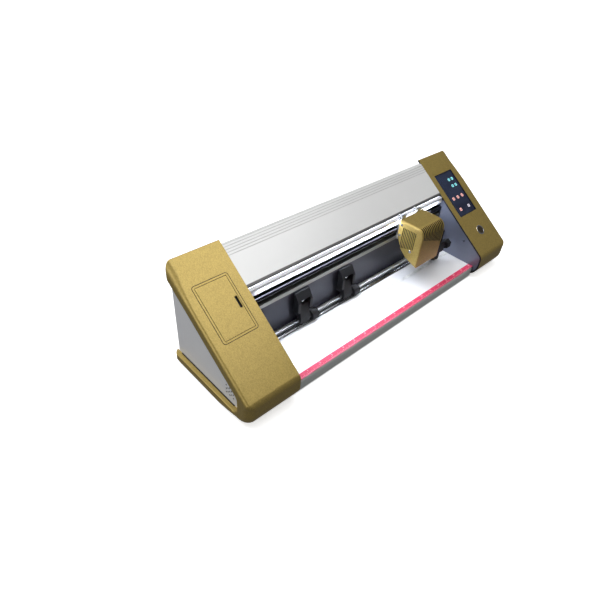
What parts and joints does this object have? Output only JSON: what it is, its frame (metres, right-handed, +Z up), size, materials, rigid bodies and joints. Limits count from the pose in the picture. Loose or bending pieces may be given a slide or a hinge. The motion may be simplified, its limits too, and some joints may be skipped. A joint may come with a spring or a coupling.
{
  "type": "vinyl cutter",
  "caption": "Desktop vinyl cutter with sloping end caps, a carriage running along a cross beam, pinch rollers over a grit shaft, and a ruled platen.",
  "frame": {"origin": "centre of the footprint, on the surface the feet stand on", "axes": "+X along the beam towards the screen end, +Y from the nose to the back, +Z up"},
  "size_m": [0.65, 0.184, 0.1801],
  "materials": {
    "gold_shell": "satin metallic lacquer, fine grain",
    "grey_panel": "fine matt powder coat",
    "cover_aluminium": "satin anodised",
    "beam_aluminium": "dark satin anodised",
    "bright_aluminium": "satin",
    "frame_paint": "light blue-grey paint",
    "tray_paint": "black powder coat",
    "platen_white": "gloss white enamel",
    "ruler_red": "printed film",
    "strip_grey": "soft cutting strip",
    "led_white": "lit diffuser",
    "ground_steel": "ground",
    "polished_steel": "polished",
    "brass": "turned",
    "nylon_white": "moulded",
    "motor_black": "satin black",
    "black_plastic": "moulded, fine grain",
    "black_rubber": "matt",
    "screen_glass": "glossy touch panel",
    "board_green": "solder mask",
    "badge_chrome": "polished",
    "switch_red": "moulded"
  },
  "bodies": {
    "root": {"base_tray": "tray_paint", "rubber_feet": "black_rubber", "left_end_cap": "gold_shell", "right_end_cap": "gold_shell", "left_side_panel": "grey_panel", "right_side_panel": "grey_panel", "left_frame_plate": "frame_paint", "right_frame_plate": "frame_paint", "top_cover": "cover_aluminium", "cross_beam": "beam_aluminium", "front_edge_rail": "bright_aluminium", "platen": "platen_white", "rear_platen": "platen_white", "ruler_strip": "ruler_red", "cutting_strip": "strip_grey", "led_bar": "led_white", "shaft_bearings": "ground_steel", "feed_motor": "motor_black", "guide_rod": "polished_steel", "drive_belt": "black_rubber", "idler_bracket": "tray_paint", "carriage_motor": "motor_black", "motor_bracket": "tray_paint", "storage_box": "gold_shell", "touch_screen": "screen_glass", "display_module": "board_green", "badge": "badge_chrome", "controller_board": "board_green", "power_supply": "bright_aluminium", "power_inlet": "black_plastic", "usb_port": "ground_steel", "plate_screws": "ground_steel"},
    "feed_roller": {"grit_shaft": "ground_steel", "feed_gear": "nylon_white"},
    "pinion": {"feed_pinion": "brass"},
    "drive_wheel": {"belt_pulley": "bright_aluminium"},
    "idler_wheel": {"idler_pulley": "bright_aluminium"},
    "carriage": {"carriage_chassis": "bright_aluminium", "carriage_bushings": "brass", "carriage_cover": "gold_shell", "cover_screws": "ground_steel", "lift_solenoid": "motor_black"},
    "left_track": {"left_track_wheel": "ground_steel"},
    "right_track": {"right_track_wheel": "ground_steel"},
    "tool_head": {"tool_slide": "black_plastic", "blade_holder": "black_plastic"},
    "blade": {"blade": "ground_steel"},
    "clamp_knob": {"clamp_knob": "black_plastic"},
    "storage_door": {"storage_door": "gold_shell"},
    "power_rocker": {"power_switch": "switch_red"},
    "left_pinch": {"left_pinch_bracket": "black_plastic", "left_pinch_spring": "ground_steel"},
    "left_pinch_lever": {"left_pinch_arm": "black_plastic", "left_pinch_axle": "ground_steel"},
    "left_pinch_roller": {"left_pinch_wheel": "black_rubber"},
    "right_pinch": {"right_pinch_bracket": "black_plastic", "right_pinch_spring": "ground_steel"},
    "right_pinch_lever": {"right_pinch_arm": "black_plastic", "right_pinch_axle": "ground_steel"},
    "right_pinch_roller": {"right_pinch_wheel": "black_rubber"}
  },
  "joints": [
    {"name": "feed_spin", "type": "hinge", "parent": "root", "child": "feed_roller", "pos_m": [0, 0.0085, 0.0181], "axis": [1, 0, 0], "continuous": true},
    {"name": "pinion_spin", "type": "hinge", "parent": "root", "child": "pinion", "pos_m": [0.2428, -0.00941, 0.027], "axis": [1, 0, 0], "continuous": true},
    {"name": "carriage_slide", "type": "slide", "parent": "root", "child": "carriage", "axis": [1, 0, 0], "range_m": [-0.325, 0.02]},
    {"name": "pulley_spin", "type": "hinge", "parent": "root", "child": "drive_wheel", "pos_m": [0.262, 0.03, 0.1085], "axis": [0, 1, 0], "range_deg": [-170, 2580]},
    {"name": "idler_spin", "type": "hinge", "parent": "root", "child": "idler_wheel", "pos_m": [-0.248, 0.03, 0.1085], "axis": [0, 1, 0], "range_deg": [-170, 2580]},
    {"name": "left_track_spin", "type": "hinge", "parent": "carriage", "child": "left_track", "pos_m": [0.105, 0.022, 0.13255], "axis": [0, 1, 0], "range_deg": [-5260, 340]},
    {"name": "right_track_spin", "type": "hinge", "parent": "carriage", "child": "right_track", "pos_m": [0.1484, 0.022, 0.13255], "axis": [0, 1, 0], "range_deg": [-5260, 340]},
    {"name": "tool_lift", "type": "slide", "parent": "carriage", "child": "tool_head", "axis": [0, 0, 1], "range_m": [-0.003, 0], "stiffness_N_per_m": 300, "springref_m": 0.01},
    {"name": "blade_swivel", "type": "hinge", "parent": "tool_head", "child": "blade", "pos_m": [0.185, -0.019, 0.04], "axis": [0, 0, 1], "continuous": true},
    {"name": "clamp_turn", "type": "hinge", "parent": "tool_head", "child": "clamp_knob", "pos_m": [0.199, -0.026, 0.06], "axis": [1, 0, 0], "range_deg": [-360, 0]},
    {"name": "door_open", "type": "hinge", "parent": "root", "child": "storage_door", "pos_m": [-0.3026, 0.01718, 0.1257], "axis": [0, -0.8161, -0.5779], "range_deg": [0, 95]},
    {"name": "power_press", "type": "hinge", "parent": "root", "child": "power_rocker", "pos_m": [-0.291, 0.0846, 0.03], "axis": [1, 0, 0], "range_deg": [0, 10]},
    {"name": "left_pinch_slide", "type": "slide", "parent": "root", "child": "left_pinch", "axis": [1, 0, 0], "range_m": [-0.05, 0.03]},
    {"name": "left_pinch_lift", "type": "hinge", "parent": "left_pinch", "child": "left_pinch_lever", "pos_m": [-0.135, 0.014, 0.06], "axis": [1, 0, 0], "range_deg": [-15, 0], "stiffness_Nm_per_rad": 1, "springref_deg": 14.32},
    {"name": "left_pinch_spin", "type": "hinge", "parent": "left_pinch_lever", "child": "left_pinch_roller", "pos_m": [-0.113, 0.0085, 0.0324], "axis": [1, 0, 0], "continuous": true},
    {"name": "right_pinch_slide", "type": "slide", "parent": "root", "child": "right_pinch", "axis": [1, 0, 0], "range_m": [-0.03, 0.06]},
    {"name": "right_pinch_lift", "type": "hinge", "parent": "right_pinch", "child": "right_pinch_lever", "pos_m": [-0.035, 0.014, 0.06], "axis": [1, 0, 0], "range_deg": [-15, 0], "stiffness_Nm_per_rad": 1, "springref_deg": 14.32},
    {"name": "right_pinch_spin", "type": "hinge", "parent": "right_pinch_lever", "child": "right_pinch_roller", "pos_m": [-0.013, 0.0085, 0.0324], "axis": [1, 0, 0], "continuous": true}
  ],
  "couplings": [
    {"joint": "pinion_spin", "follows": "feed_spin", "ratio": -1.5},
    {"joint": "pulley_spin", "follows": "carriage_slide", "rad_per_m": -137.93},
    {"joint": "idler_spin", "follows": "carriage_slide", "rad_per_m": -137.93},
    {"joint": "left_track_spin", "follows": "carriage_slide", "rad_per_m": 281.69},
    {"joint": "right_track_spin", "follows": "carriage_slide", "rad_per_m": 281.69},
    {"joint": "left_pinch_spin", "follows": "feed_spin", "ratio": -0.55556},
    {"joint": "right_pinch_spin", "follows": "feed_spin", "ratio": -0.55556}
  ]
}
